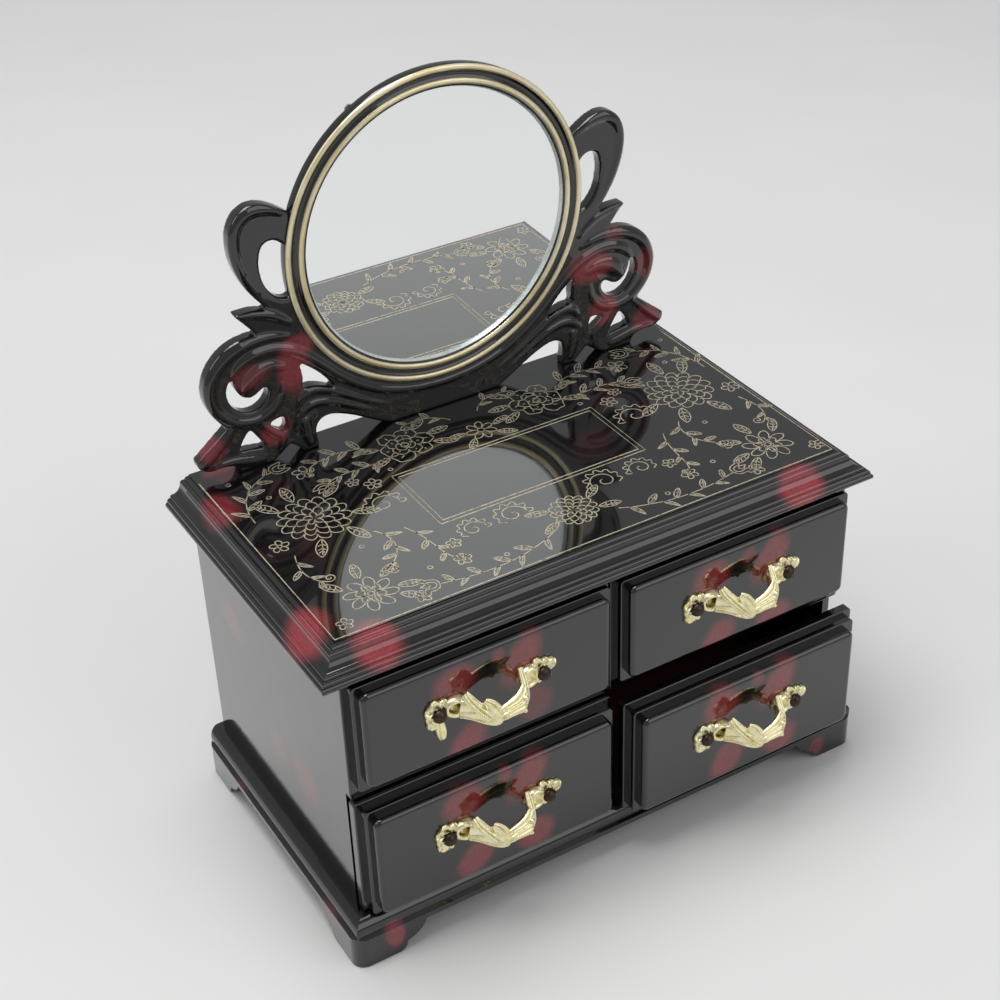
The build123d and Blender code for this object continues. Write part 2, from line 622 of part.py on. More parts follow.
def make_liner(name):
    x, y, z = tray_limits(name)
    around = TRAY_WALL + LINER_GAP
    pad = RectangleRounded(TRAY_W - 2 * around, TRAY_D - 2 * around, TRAY_R - LINER_GAP)
    place = Pos((x[0] + x[1]) / 2, (y[0] + y[1]) / 2, z[0] + TRAY_WALL)
    return place * extrude(pad, LINER_T)


# ---------------------------------------------------------------- pulls
def petal(long, wide):
    """A plump petal along X: half an ellipse turned about its long axis."""
    arc = EllipticalCenterArc((0, 0), long / 2, wide / 2, start_angle=0, arc_size=180)
    return revolve(make_face([arc, Line((-long / 2, 0), (long / 2, 0))]), Axis.X)


def bar_section(x, out, rise, half_z, half_out, lean, twist):
    """An elliptical section of the bar across its run."""
    plane = Plane(origin=(x, -out, rise), x_dir=(0, 0, 1), z_dir=(1, -lean, 0))
    return plane * Rot(Z=twist) * Ellipse(half_z, half_out)


def pull_bar():
    """The bowed bar: it rises from the left loop, twists, and drops steeply to the right one."""
    rise = [bar_section(*numbers) for numbers in BAR_RISE]
    drop = [bar_section(*numbers) for numbers in BAR_DROP]
    return loft(rise) + loft([rise[-1]] + drop)


def leaf(tip, root, half_width):
    """A flat pointed leaf, its broad side to the front."""
    tip, root = [Vector(x, -out, rise) for x, out, rise in (tip, root)]
    run = root - tip
    across = run.cross(Vector(0, -1, 0))
    sections = []
    for along, size in ((0, LEAF_TIP), (LEAF_WIDEST, 1), (1, LEAF_TIP)):
        plane = Plane(origin=tip + run * along, x_dir=across, z_dir=run)
        sections.append(plane * Ellipse(half_width * size, LEAF_HALF_T * size))
    return loft(sections)


def eye_loop():
    loop = EllipticalCenterArc((0, 0), EYE_A, EYE_B, start_angle=0, arc_size=360)
    ring = Plane(origin=(EYE_X, -EYE_OUT, EYE_Z), x_dir=(1, 0, 0), z_dir=(0, -1, 0)) * loop
    start = Plane(origin=ring @ 0, z_dir=ring % 0)
    return sweep(start * Circle(EYE_WIRE), path=ring)


def pull_end():
    """The right end: a loop and petals round the pin's boss, cleared for the pin and its head."""
    x = PIN_SPAN / 2
    body = eye_loop()
    for turn, reach, long, wide in PETALS:
        place = Pos(x, -PETAL_OUT, 0) * Rot(Y=-turn) * Pos(reach, 0, 0)
        body += place * petal(long, wide)
    body -= rod_y(PIN_HEAD_R + PIN_CLEAR, x, 0, -2 * BOSS_H - PIN_HEAD_H, -BOSS_H)
    body += rod_y(BOSS_R, x, 0, -BOSS_H, 0)
    return body - rod_y(PIN_R + PIN_CLEAR, x, 0, -BOSS_H, 0)


def make_pull_shape():
    """A cast bow pull about the middle of its foot, its back on Y = 0."""
    body = pull_bar()
    for numbers in LEAVES:
        body += leaf(*numbers)
    end = pull_end()
    return body + end + mirror(end, about=Plane.YZ)


def make_pull(name):
    x, y = drawer_place(name)
    return Pos(x + PULL_SHIFT, y - FRONT_T, pin_height(name)) * PULL_SHAPE


def make_pins(name):
    """The two domed pins that hold a pull, through the front and the tray's front wall."""
    y = drawer_place(name)[1]
    under = y - FRONT_T - BOSS_H
    pins = []
    ball = (PIN_HEAD_R ** 2 + PIN_HEAD_H ** 2) / (2 * PIN_HEAD_H)
    for x, z in pin_places(name):
        dome = Pos(x, under - PIN_HEAD_H + ball, z) * Sphere(ball)
        dome &= rod_y(ball, x, z, under - PIN_HEAD_H, under)
        pins.append(dome + rod_y(PIN_R, x, z, under, y + TRAY_WALL + NUT_T + PIN_TAIL))
    return Compound(pins)


def make_nuts(name):
    y = drawer_place(name)[1] + TRAY_WALL
    nut = extrude(Plane.XZ * RegularPolygon(NUT_AF / 2, 6, major_radius=False), -NUT_T)
    nut -= rod_y(PIN_R + PIN_CLEAR, 0, 0, 0, NUT_T)
    return Compound([Pos(x, y, z) * nut for x, z in pin_places(name)])


# ---------------------------------------------------------------- the whole
PULL_SHAPE = make_pull_shape()
FRONT_MOST = FRONT_BACK - FRONT_T - max(OPEN_BY.values()) + PULL_SHAPE.bounding_box().min.Y
WORLD = Pos(0, -(FRONT_MOST + LID_BACK) / 2, 0)

save("base", make_base())
save("side_panel_left", make_side(-1))
save("side_panel_right", make_side(1))
save("back_panel", make_back_panel())
save("shelf", make_shelf())
save("divider_lower", make_divider(0))
save("divider_upper", make_divider(1))
save("top_board", make_top_board())
save("lid", make_lid())
save("lid_screws", make_lid_screws())
save("mirror_frame", make_mirror_frame())
save("mirror_glass", make_glass())
save("mirror_backing", make_backing())
save("mirror_back_cover", make_back_cover())
save("mirror_cover_screws", make_cover_screws())
save("stand_screws", make_stand_screws())
for drawer in DRAWERS:
    save(f"drawer_front_{drawer}", make_drawer_front(drawer))
    save(f"drawer_tray_{drawer}", make_tray(drawer))
    save(f"drawer_liner_{drawer}", make_liner(drawer))
    save(f"pull_{drawer}", make_pull(drawer))
    save(f"pull_pins_{drawer}", make_pins(drawer))
    save(f"pull_nuts_{drawer}", make_nuts(drawer))
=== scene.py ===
import math

import bmesh
import bpy
from mathutils import Matrix, Vector


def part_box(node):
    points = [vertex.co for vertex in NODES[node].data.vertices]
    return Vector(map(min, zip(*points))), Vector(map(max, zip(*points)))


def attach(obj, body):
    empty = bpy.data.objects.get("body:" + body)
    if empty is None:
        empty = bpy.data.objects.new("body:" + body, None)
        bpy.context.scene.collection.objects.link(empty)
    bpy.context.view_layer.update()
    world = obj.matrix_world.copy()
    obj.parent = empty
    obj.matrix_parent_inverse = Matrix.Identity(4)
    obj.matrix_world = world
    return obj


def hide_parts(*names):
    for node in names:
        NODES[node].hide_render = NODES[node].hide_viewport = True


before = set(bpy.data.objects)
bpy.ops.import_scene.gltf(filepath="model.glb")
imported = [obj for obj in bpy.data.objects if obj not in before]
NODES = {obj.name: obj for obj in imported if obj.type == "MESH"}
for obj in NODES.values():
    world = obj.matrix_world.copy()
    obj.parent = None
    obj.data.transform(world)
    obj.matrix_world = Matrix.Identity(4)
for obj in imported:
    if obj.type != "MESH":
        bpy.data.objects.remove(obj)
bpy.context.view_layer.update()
MM = 0.001

# Sizes in millimetres, in the row's frame: +X right, +Y back, +Z up, Z = 0 under the feet.
LID_MID_Y = 12.166          # middle of the lid in Y
LID_TOP = 137.4
STAND_BACK, STAND_T = 72.166, 5.0   # back of the upright stand, and its thickness
STAND_LEAN = 1.5            # degrees forward, about the back edge of its feet
RIM_FRONT, RIM_HEIGHT = 65.566, 214.3   # front and middle of the upright rim
RING_R, RING_HALF = (56.1, 61.15), 1.12
DRAWER_NAMES = ("upper_left", "upper_right", "lower_left", "lower_right")


# ---------------------------------------------------------------- camera
def make_camera():
    azimuth, elevation, roll = (math.radians(a) for a in (-30.0, 34.01, -2.11))
    back = Vector((math.sin(azimuth) * math.cos(elevation),
                   -math.cos(azimuth) * math.cos(elevation), math.sin(elevation)))
    right = Vector((math.cos(azimuth), math.sin(azimuth), 0))
    up = back.cross(right)
    x = math.cos(roll) * right + math.sin(roll) * up
    y = math.cos(roll) * up - math.sin(roll) * right
    data = bpy.data.cameras.new("camera")
    data.sensor_width = 36
    data.lens = 66.7
    data.clip_start = 0.02
    data.clip_end = 20
    camera = bpy.data.objects.new("camera", data)
    camera.matrix_world = Matrix((x, y, back)).transposed().to_4x4()
    camera.location = (-0.29378, -0.481724, 0.51131)
    bpy.context.scene.collection.objects.link(camera)
    bpy.context.scene.camera = camera


# ---------------------------------------------------------------- node helpers
class Tree:
    """A short way to write a node tree."""

    def __init__(self, name):
        self.material = bpy.data.materials.new(name)
        self.material.use_nodes = True
        self.nodes = self.material.node_tree.nodes
        self.links = self.material.node_tree.links
        self.shader = self.nodes["Principled BSDF"]

    def add(self, kind, inputs=None, **settings):
        node = self.nodes.new(kind)
        for key, value in settings.items():
            setattr(node, key, value)
        for key, value in (inputs or {}).items():
            self.feed(node.inputs[key], value)
        return node

    def feed(self, socket, value):
        if isinstance(value, bpy.types.NodeSocket):
            self.links.new(value, socket)
        elif hasattr(socket.default_value, "__len__") and len(socket.default_value) == 4:
            socket.default_value = (*value[:3], 1.0)
        else:
            socket.default_value = value

    def set(self, **inputs):
        for key, value in inputs.items():
            self.feed(self.shader.inputs[key.replace("_", " ")], value)

    def place(self):
        return self.add("ShaderNodeTexCoord").outputs["Object"]

    def noise(self, scale, detail=2.0, rough=0.5, vector=None):
        node = self.add("ShaderNodeTexNoise", {"Vector": vector or self.place(), "Scale": scale,
                                               "Detail": detail, "Roughness": rough})
        return node.outputs["Fac"]

    def math(self, kind, a, b=0.0, c=0.0):
        return self.add("ShaderNodeMath", {0: a, 1: b, 2: c}, operation=kind).outputs[0]

    def ramp(self, value, low, high, a=0.0, b=1.0):
        return self.add("ShaderNodeMapRange", {"Value": value, "From Min": low, "From Max": high,
                                               "To Min": a, "To Max": b},
                        interpolation_type="SMOOTHSTEP").outputs["Result"]

    def mix(self, fac, a, b):
        node = self.add("ShaderNodeMix", data_type="RGBA")
        for key, value in (("Factor", fac), (6, a), (7, b)):
            self.feed(node.inputs[key], value)
        return node.outputs[2]

    def bump(self, height, distance, strength=1.0):
        node = self.add("ShaderNodeBump", {"Height": height, "Distance": distance,
                                           "Strength": strength})
        self.feed(self.shader.inputs["Normal"], node.outputs["Normal"])
        return node.outputs["Normal"]


def dress(node, material):
    mesh = NODES[node].data
    mesh.materials.clear()
    mesh.materials.append(material)


# ---------------------------------------------------------------- materials
LACQUER = (0.0042, 0.0034, 0.0038)
AIRBRUSH = (0.26, 0.028, 0.037)


def airbrush(tree, patches):
    """Mask of soft-edged sprayed patches: each is (centre, half sizes, turn about Y or Z, strength)."""
    place = tree.place()
    wander = tree.add("ShaderNodeVectorMath", {0: tree.add(
        "ShaderNodeTexNoise", {"Vector": place, "Scale": 90.0, "Detail": 3.0}).outputs["Color"],
        1: (0.5, 0.5, 0.5)}, operation="SUBTRACT").outputs[0]
    wander = tree.add("ShaderNodeVectorMath", {0: wander, "Scale": 0.004},
                      operation="SCALE").outputs[0]
    place = tree.add("ShaderNodeVectorMath", {0: place, 1: wander}, operation="ADD").outputs[0]
    total = None
    for centre, half, turn, strength in patches:
        spot = tree.add("ShaderNodeMapping", {"Vector": place, "Location": [c * MM for c in centre],
                                              "Rotation": [math.radians(a) for a in turn],
                                              "Scale": [h * MM for h in half]},
                        vector_type="TEXTURE").outputs[0]
        far = tree.add("ShaderNodeVectorMath", {0: spot}, operation="LENGTH").outputs["Value"]
        mask = tree.ramp(far, 1.22, 0.55, 0.0, strength)
        total = mask if total is None else tree.math("MAXIMUM", total, mask)
    grain = tree.ramp(tree.noise(900.0, 3.0), 0.30, 0.62, 0.72, 1.0)
    return tree.math("MULTIPLY", total, grain)


def lacquer(name, patches=()):
    tree = Tree(name)
    colour = LACQUER
    if patches:
        colour = tree.mix(airbrush(tree, patches), LACQUER, AIRBRUSH)
    dust = tree.ramp(tree.noise(140.0, 6.0, 0.65), 0.52, 0.78)
    rough = tree.math("MULTIPLY_ADD", dust, 0.10, 0.075)
    tree.set(Base_Color=colour, Roughness=rough, Coat_Weight=1.0, Coat_Roughness=0.03)
    tree.shader.inputs["Specular IOR Level"].default_value = 0.35
    tree.bump(tree.noise(75.0, 1.0), 0.00006)
    return tree.material


def gilt_ring():
    """Pale gold on the rim's beads, with dark nicks where it has worn off."""
    tree = Tree("gilt_ring")
    tone = tree.ramp(tree.noise(60.0, 3.0, 0.6), 0.3, 0.7)
    gold = tree.mix(tone, (0.80, 0.69, 0.42), (0.92, 0.85, 0.62))
    kept = tree.ramp(tree.noise(210.0, 5.0, 0.7), 0.27, 0.33)
    tree.set(Base_Color=tree.mix(kept, (0.012, 0.010, 0.008), gold), Metallic=0.75,
             Roughness=tree.ramp(tree.noise(400.0, 3.0), 0.3, 0.7, 0.30, 0.42))
    tree.bump(tree.noise(300.0, 3.0), 0.00012)
    return tree.material


def gilt_paint():
    tree = Tree("gilt_line")
    worn = tree.ramp(tree.noise(500.0, 4.0, 0.7), 0.30, 0.55)
    tree.set(Base_Color=tree.mix(worn, (0.19, 0.165, 0.115), (0.52, 0.46, 0.34)), Metallic=0.35,
             Roughness=0.42)
    return tree.material


def gilt_metal():
    tree = Tree("gilt_metal")
    # Painted shade: an ambient-occlusion mask turns the gold dark brown in the crevices between the
    # cast strands and on their backs, where shade falls.
    crevice_shade_ao = tree.add("ShaderNodeAmbientOcclusion", {"Distance": 0.0014}, samples=8)
    depth = tree.ramp(crevice_shade_ao.outputs["AO"], 0.30, 0.80)
    mottle = tree.noise(420.0, 4.0, 0.6)
    bright = tree.mix(tree.ramp(mottle, 0.35, 0.65), (0.86, 0.76, 0.42), (0.96, 0.91, 0.62))
    tree.set(Base_Color=tree.mix(depth, (0.17, 0.12, 0.035), bright), Metallic=1.0,
             Roughness=tree.ramp(mottle, 0.3, 0.7, 0.24, 0.38))
    tree.bump(tree.noise(800.0, 2.0), 0.00008)
    return tree.material


def dark_metal():
    tree = Tree("pin_metal")
    mottle = tree.noise(600.0, 4.0)
    tree.set(Base_Color=tree.mix(mottle, (0.020, 0.012, 0.010), (0.09, 0.055, 0.040)),
             Metallic=0.8, Roughness=tree.ramp(mottle, 0.3, 0.7, 0.25, 0.42))
    return tree.material


def steel():
    tree = Tree("screw_steel")
    mottle = tree.noise(900.0, 3.0)
    tree.set(Base_Color=tree.mix(mottle, (0.38, 0.37, 0.35), (0.62, 0.61, 0.58)), Metallic=1.0,
             Roughness=tree.ramp(mottle, 0.3, 0.7, 0.28, 0.45))
    return tree.material


def silvered_glass():
    tree = Tree("mirror_silver")
    smear = tree.ramp(tree.noise(28.0, 5.0, 0.6), 0.55, 0.85)
    tree.set(Base_Color=(0.94, 0.965, 0.955), Metallic=1.0,
             Roughness=tree.math("MULTIPLY_ADD", smear, 0.03, 0.004))
    return tree.material


def ground_glass():
    tree = Tree("glass_edge")
    tree.set(Base_Color=(0.80, 0.86, 0.83), Metallic=0.6,
             Roughness=tree.ramp(tree.noise(150.0, 4.0, 0.7), 0.3, 0.7, 0.22, 0.50))
    return tree.material


def tray_wood():
    tree = Tree("tray_wood")
    place = tree.add("ShaderNodeMapping", {"Vector": tree.place(), "Scale": (6.0, 90.0, 90.0)})
    grain = tree.noise(9.0, 6.0, 0.65, place.outputs[0])
    tree.set(Base_Color=tree.mix(grain, (0.012, 0.006, 0.005), (0.055, 0.026, 0.019)),
             Roughness=tree.ramp(grain, 0.3, 0.7, 0.30, 0.48))
    tree.bump(grain, 0.00012)
    return tree.material


def flock():
    tree = Tree("flock_red")
    fibre = tree.noise(3200.0, 4.0, 0.7)
    nap = tree.noise(60.0, 3.0)
    shade = tree.mix(nap, (0.13, 0.006, 0.012), (0.30, 0.018, 0.030))
    tree.set(Base_Color=tree.mix(tree.ramp(fibre, 0.3, 0.7), (0.07, 0.004, 0.008), shade),
             Roughness=0.95, Sheen_Weight=0.7, Sheen_Roughness=0.4, Sheen_Tint=(0.9, 0.3, 0.35))
    tree.bump(fibre, 0.0003)
    return tree.material


def satin(name, dark, light):
    tree = Tree(name)
    grain = tree.noise(1400.0, 3.0)
    tree.set(Base_Color=tree.mix(grain, dark, light),
             Roughness=tree.ramp(tree.noise(30.0, 3.0), 0.3, 0.7, 0.38, 0.55))
    tree.bump(grain, 0.00008)
    return tree.material


# ---------------------------------------------------------------- airbrushed patches
def lid_patches():
    y = LID_MID_Y
    return [
        ((-94, 60 + y, 137), (7, 7, 9), (0, 0, 0), 0.55),
        ((-104, 37 + y, 136), (7.5, 11, 7), (0, 0, 0), 0.6),
        ((-107, -41 + y, 132), (9.5, 12, 9), (0, 0, 0), 1.0),
        ((-91, -58 + y, 132), (10, 10, 9), (0, 0, 0), 1.0),
        ((84, -60 + y, 131), (10.5, 9, 9), (0, 0, 0), 1.0),
        ((111, -36 + y, 131), (8, 9, 9), (0, 0, 0), 0.35),
    ]


def base_patches():
    y = LID_MID_Y
    return [
        ((-98, -67 + y, 10), (4.5, 6, 7), (0, 0, 0), 0.9),
        ((95, -67 + y, 6), (4, 6, 5), (0, 0, 0), 0.6),
        ((-113, -48 + y, 9), (6, 7, 8), (0, 0, 0), 0.35),
        ((-113, 30 + y, 8), (6, 8, 7), (0, 0, 0), 0.4),
    ]


def side_patches(x):
    y = LID_MID_Y
    return [
        ((x, 34 + y, 90), (9, 12, 8), (20, 0, 0), 0.5),
        ((x, -21 + y, 52), (9, 12, 10), (25, 0, 0), 0.5),
        ((x, 3 + y, 51), (9, 8, 8), (0, 0, 0), 0.45),
    ]


def drawer_patches(name):
    low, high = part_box(f"drawer_front_{name}")
    x, z = [(low[i] + high[i]) / 2 / MM for i in (0, 2)]
    y = low[1] / MM
    spots = [
        ((x - 14.5, y, z + 13), (9, 9, 8.5), (0, 0, 0), 0.8),
        ((x + 12, y, z + 12), (7, 9, 12), (0, 35, 0), 0.85),
        ((x - 10.5, y, z - 15), (7, 9, 10.5), (0, 35, 0), 0.85),
        ((x + 2.5, y, z + 18), (3.2, 9, 3.2), (0, 0, 0), 0.55),
    ]
    if name == "upper_left":
        return spots + [((x + 17, y, z - 9), (8, 9, 8), (0, 0, 0), 0.45)]
    return spots + [((x + 15, y, z - 16), (8.5, 9, 8), (0, 0, 0), 0.8)]


def stand_patches():
    y, z = 46.1 + LID_MID_Y + 10, LID_TOP
    spots = [
        (-63, 38, 7, 12, 1.0), (-60, 46, 8, 5, 0.9), (-80, 39, 9, 5.5, 0.5), (-72, 13, 6.5, 6, 0.9),
        (-97, 13, 6, 6, 0.6), (-98, 3, 7, 3.5, 0.6), (67, 41, 11, 8, 1.0), (94, 35, 5, 8, 0.5),
        (74, 20, 7, 7, 0.9), (95, 9, 7, 8, 0.75), (78, 52, 4, 4, 0.5),
    ]
    return [((x, y, z + up), (wide, 14, high), (0, 0, 0), strength)
            for x, up, wide, high, strength in spots]


# ---------------------------------------------------------------- line ornament on the lid
LINE_HEIGHT = 0.03


class Lines:
    """Flat gilt lines on the lid's top, drawn in millimetres from the lid's middle."""

    def __init__(self, width, height):
        self.mesh = bmesh.new()
        self.width, self.height = width, height

    def line(self, points, place=Matrix.Identity(3), closed=False, width=None):
        spots = [(place @ Vector((x, y, 1))).xy for x, y in points]
        count, half = len(spots), (width or self.width) / 2
        rows = []
        for i, spot in enumerate(spots):
            before = spots[i - 1] if i or closed else spot
            after = spots[(i + 1) % count] if i + 1 < count or closed else spot
            along = (after - before).normalized()
            side = Vector((-along.y, along.x)) * half
            rows.append([self.mesh.verts.new(self.at(spot + side * k)) for k in (1, -1)])
        pairs = zip(rows, rows[1:] + rows[:1] if closed else rows[1:])
        for a, b in pairs:
            self.mesh.faces.new((a[0], a[1], b[1], b[0]))

    def at(self, spot):
        return (spot.x * MM, (spot.y + LID_MID_Y) * MM, self.height * MM)

    def make(self, name, material):
        sheet = bmesh.ops.extrude_face_region(self.mesh, geom=self.mesh.faces[:], use_keep_orig=True)
        raised = [v for v in sheet["geom"] if isinstance(v, bmesh.types.BMVert)]
        bmesh.ops.translate(self.mesh, verts=raised, vec=(0, 0, LINE_HEIGHT * MM))
        data = bpy.data.meshes.new(name)
        bmesh.ops.recalc_face_normals(self.mesh, faces=self.mesh.faces)
        self.mesh.to_mesh(data)
        self.mesh.free()
        data.materials.append(material)
        piece = bpy.data.objects.new(name, data)
        bpy.context.scene.collection.objects.link(piece)
        return piece


def at(x, y, turn=0.0, size=1.0, flip=1):
    """A place on the lid as a 3 x 3 matrix."""
    c, s = math.cos(math.radians(turn)) * size, math.sin(math.radians(turn)) * size
    return Matrix(((c * flip, -s, x), (s * flip, c, y), (0, 0, 1)))


def arc_points(radius, start, end, steps, middle=(0, 0), squash=1.0):
    turns = [math.radians(start + (end - start) * i / steps) for i in range(steps + 1)]
    return [(middle[0] + radius * math.cos(t), middle[1] + squash * radius * math.sin(t))
            for t in turns]


def curve(a, b, c, d, steps=14):
    """A Bezier curve through four control points."""
    points = []
    for i in range(steps + 1):
        t = i / steps
        k = ((1 - t) ** 3, 3 * t * (1 - t) ** 2, 3 * t * t * (1 - t), t ** 3)
        points.append(tuple(sum(w * p[j] for w, p in zip(k, (a, b, c, d))) for j in (0, 1)))
    return points


def polar(radius, angle):
    return radius * math.cos(math.radians(angle)), radius * math.sin(math.radians(angle))


def petal_edge(inner, outer, start, end, lobes=3, sway=0.0):
    """A petal's edge from the inner radius out and back, with a scalloped rim."""
    points = []
    for i in range(25):
        t = i / 24
        swell = math.sin(math.pi * t) ** 0.42
        scallop = 1 + 0.075 * math.sin(2 * math.pi * lobes * t + sway)
        points.append(polar(inner + (outer - inner) * swell * scallop, start + (end - start) * t))
    return points


def peony(art, place, radius, turn=0.0):
    """An open flower: a folded heart, and three rings of uneven scalloped petals."""
    art.line(arc_points(radius * 0.10, turn, turn + 300, 10), place)
    art.line(arc_points(radius * 0.17, turn + 150, turn + 420, 10), place)
    for ring, (count, inner, outer) in enumerate(((3, 0.20, 0.36), (5, 0.34, 0.64),
                                                  (6, 0.60, 1.0))):
        step = 360 / count
        for i in range(count):
            uneven = math.sin(2.7 * i + 1.9 * ring + turn)
            start = turn + step * (i + 0.37 * ring) + 5 * uneven
            reach = outer * (1 + 0.07 * uneven)
            span = step * (1.04 + 0.10 * math.sin(1.7 * i + turn))
            art.line(petal_edge(inner * radius, reach * radius, start, start + span,
                                2 + (i + ring) % 2, 1.3 * i), place)
            if ring:
                middle = start + span * 0.5
                art.line([polar((inner + 0.10) * radius, middle),
                          polar((inner + 0.55 * (reach - inner)) * radius, middle + 4)], place)


def daisy(art, place, radius, petals=5):
    """A small open flower."""
    art.line(arc_points(radius * 0.24, 0, 360, 8), place)
    for i in range(petals):
        art.line(petal_edge(0.26 * radius, radius, 360 * i / petals, 360 * (i + 0.94) / petals,
                            1), place)


def chrysanthemum(art, place, radius):
    """A flower of many narrow petals in four rings."""
    for ring, (count, inner, outer) in enumerate(((5, 0.04, 0.28), (8, 0.26, 0.54),
                                                  (11, 0.50, 0.78), (14, 0.74, 1.0))):
        step = 360 / count
        for i in range(count):
            start = step * (i + 0.43 * ring)
            art.line(petal_edge(inner * radius, outer * radius, start, start + 0.96 * step, 1),
                     place)


def leaf(art, place, long, wide, veins=3, bend=0.15):
    """A pointed leaf from its stalk at the origin along +X."""
    tip = (long, bend * long)
    upper = curve((0, 0), (0.25 * long, wide), (0.7 * long, 0.9 * wide + bend * long), tip)
    lower = curve((0, 0), (0.3 * long, -0.7 * wide), (0.75 * long, -0.5 * wide), tip)
    rib = curve((0, 0), (0.35 * long, 0.02 * long), (0.7 * long, 0.4 * bend * long), tip)
    for points in (upper, lower, rib[:-2]):
        art.line(points, place)
    for i in range(1, veins + 1):
        k = round(len(rib) * (0.15 + 0.6 * i / (veins + 1)))
        root = rib[k]
        for edge in (upper, lower):
            end = edge[min(k + 2, len(edge) - 1)]
            art.line([root, (root[0] + 0.72 * (end[0] - root[0]),
                             root[1] + 0.72 * (end[1] - root[1]))], place)


def tulip(art, place, size):
    """A tulip along +X: two cupped petals, a pointed middle one and flames inside."""
    for side in (1, -1):
        art.line(curve((0, 0), (-0.05 * size, side * 0.52 * size), (0.5 * size, side * 0.62 * size),
                       (1.02 * size, side * 0.44 * size)), place)
        art.line(curve((1.02 * size, side * 0.44 * size), (0.80 * size, side * 0.30 * size),
                       (0.66 * size, side * 0.16 * size), (0.50 * size, 0)), place)
        art.line(curve((0.16 * size, 0), (0.2 * size, side * 0.3 * size),
                       (0.5 * size, side * 0.34 * size), (0.72 * size, side * 0.26 * size), 8), place)
    art.line(curve((0.68 * size, 0.2 * size), (0.82 * size, 0.12 * size), (0.94 * size, 0.06 * size),
                   (1.08 * size, 0), 6)
             + curve((1.08 * size, 0), (0.94 * size, -0.06 * size), (0.82 * size, -0.12 * size),
                     (0.68 * size, -0.2 * size), 6)[1:], place)


def curl(art, place, size, turns=1.4):
    """A tendril that winds in to a small eye."""
    points = []
    for i in range(33):
        t = i / 32
        r = size * (1 - 0.86 * t)
        angle = 2 * math.pi * turns * t
        points.append((size - r * math.cos(angle), r * math.sin(angle)))
    art.line(points, place)


def acanthus(art, place, size):
    """A scrolled leaf: a spiral stem, its outer edge cut in hooked lobes."""
    curl(art, place, size, 1.25)
    for i in range(7):
        angle = 190 - 34 * i
        reach = size * (1.42 - 0.03 * i)
        x, y = polar(size * 1.02, angle)
        ends = polar(reach, angle - 15)
        art.line(curve((size + x, y), (size + 1.16 * x, 1.16 * y),
                       (size + polar(reach * 1.04, angle - 4)[0], polar(reach * 1.04, angle - 4)[1]),
                       (size + ends[0], ends[1]), 6)
                 + curve((size + ends[0], ends[1]),
                         (size + polar(reach * 0.86, angle - 20)[0],
                          polar(reach * 0.86, angle - 20)[1]),
                         (size + polar(size * 1.1, angle - 26)[0], polar(size * 1.1, angle - 26)[1]),
                         (size + polar(size * 1.02, angle - 32)[0],
                          polar(size * 1.02, angle - 32)[1]), 6)[1:], place)


def spray(art, place, path, leaves, long, end="bud"):
    """A stem with leaves to the left and right in turn, and a flower or a curl at its end."""
    stem = curve(*path, 28)
    art.line(stem, place)
    for i in range(leaves):
        k = round((i + 0.7) / leaves * 26)
        (x0, y0), (x1, y1) = stem[k], stem[k + 1]
        turn = math.degrees(math.atan2(y1 - y0, x1 - x0))
        side = 1 if i % 2 else -1
        size = long * (1 - 0.30 * i / leaves)
        leaf(art, place @ at(x0, y0, turn + (42 + 9 * math.sin(3 * i)) * side), size, 0.25 * size, 1,
             0.12 * side)
    (x0, y0), (x1, y1) = stem[-2], stem[-1]
    turn = math.degrees(math.atan2(y1 - y0, x1 - x0))
    if end == "bud":
        tulip(art, place @ at(x1, y1, turn), 0.85 * long)
    elif end == "curl":
        curl(art, place @ at(x1, y1, turn - 90), 0.35 * long)
    elif end == "daisy":
        daisy(art, place @ at(x1, y1), 0.5 * long)


def lid_ornament():
    art = Lines(0.40, LID_TOP)
    art.line([(-103.7, 57), (-103.7, -53.7), (103.7, -53.7), (103.7, 57)], width=0.55)
    for inset in (0.0, 1.9):
        x0, x1, y0, y1 = -42 + inset, 46 - inset, -15.5 + inset, 21.5 - inset
        art.line([(x0, y0), (x1, y0), (x1, y1), (x0, y1)], closed=True, width=0.55)
    for side in (-1, 1):
        garland(art, at(2, 0, 0, 1, side), side)
    daisy(art, at(2, 31), 6, 7)
    ring_of_leaves(art, at(2, 31), (0, 0), 6.2, (10, 170, 220, -40), 8, 2.2)
    chrysanthemum(art, at(2, -34), 9)
    ring_of_leaves(art, at(2, -34), (0, 0), 9, (25, 155, -20, 200), 9, 2.4)
    piece = art.make("lid_line_art", gilt_paint())
    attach(piece, "case")


def ring_of_leaves(art, place, middle, radius, turns, long, wide):
    for turn in turns:
        x, y = polar(radius, turn)
        leaf(art, place @ at(middle[0] + x, middle[1] + y, turn), long, wide)


